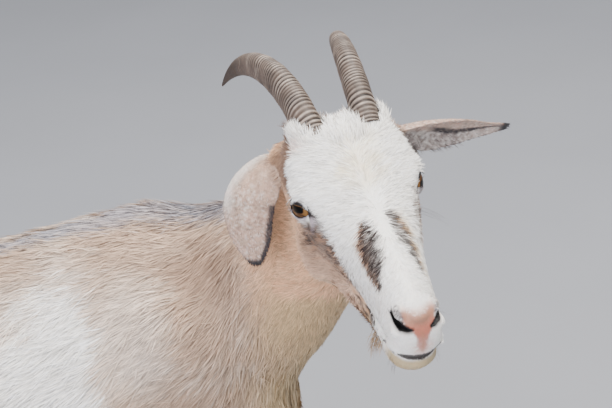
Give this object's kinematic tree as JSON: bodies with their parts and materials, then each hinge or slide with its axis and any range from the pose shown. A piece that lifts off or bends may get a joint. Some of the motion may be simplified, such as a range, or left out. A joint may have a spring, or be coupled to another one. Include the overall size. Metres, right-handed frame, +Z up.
{
  "type": "goat",
  "caption": "Life-size standing horned goat, still, looking back over its right side, with a white face, dark nose stripes, a fawn coat and cloven hooves.",
  "frame": {"origin": "on the floor, below the middle of the whole goat's bounding box", "axes": "+Z up, +Y from the chest towards the tail, +X towards the goat's left side"},
  "size_m": [0.4952, 0.9828, 0.8641],
  "materials": {
    "coat": "short lying hair, fawn with cream and grey",
    "face_coat": "short lying hair, white with dark stripes",
    "ear_velvet": "velvet-haired skin",
    "eye": "wet, amber with a level dark pupil",
    "horn": "ringed horn, satin",
    "hoof": "worn hoof horn, dull"
  },
  "bodies": {
    "root": {"trunk": "coat", "neck": "coat", "tail": "coat", "leg_front_left": "coat", "leg_front_right": "coat", "leg_hind_left": "coat", "leg_hind_right": "coat", "head": "face_coat", "ear_left": "ear_velvet", "ear_right": "ear_velvet", "eye_left": "eye", "eye_right": "eye", "horn_left": "horn", "horn_right": "horn", "claw_front_left_a": "hoof", "dewclaw_front_left_a": "hoof", "claw_front_left_b": "hoof", "dewclaw_front_left_b": "hoof", "claw_front_right_a": "hoof", "dewclaw_front_right_a": "hoof", "claw_front_right_b": "hoof", "dewclaw_front_right_b": "hoof", "claw_hind_left_a": "hoof", "dewclaw_hind_left_a": "hoof", "claw_hind_left_b": "hoof", "dewclaw_hind_left_b": "hoof", "claw_hind_right_a": "hoof", "dewclaw_hind_right_a": "hoof", "claw_hind_right_b": "hoof", "dewclaw_hind_right_b": "hoof"}
  },
  "joints": []
}
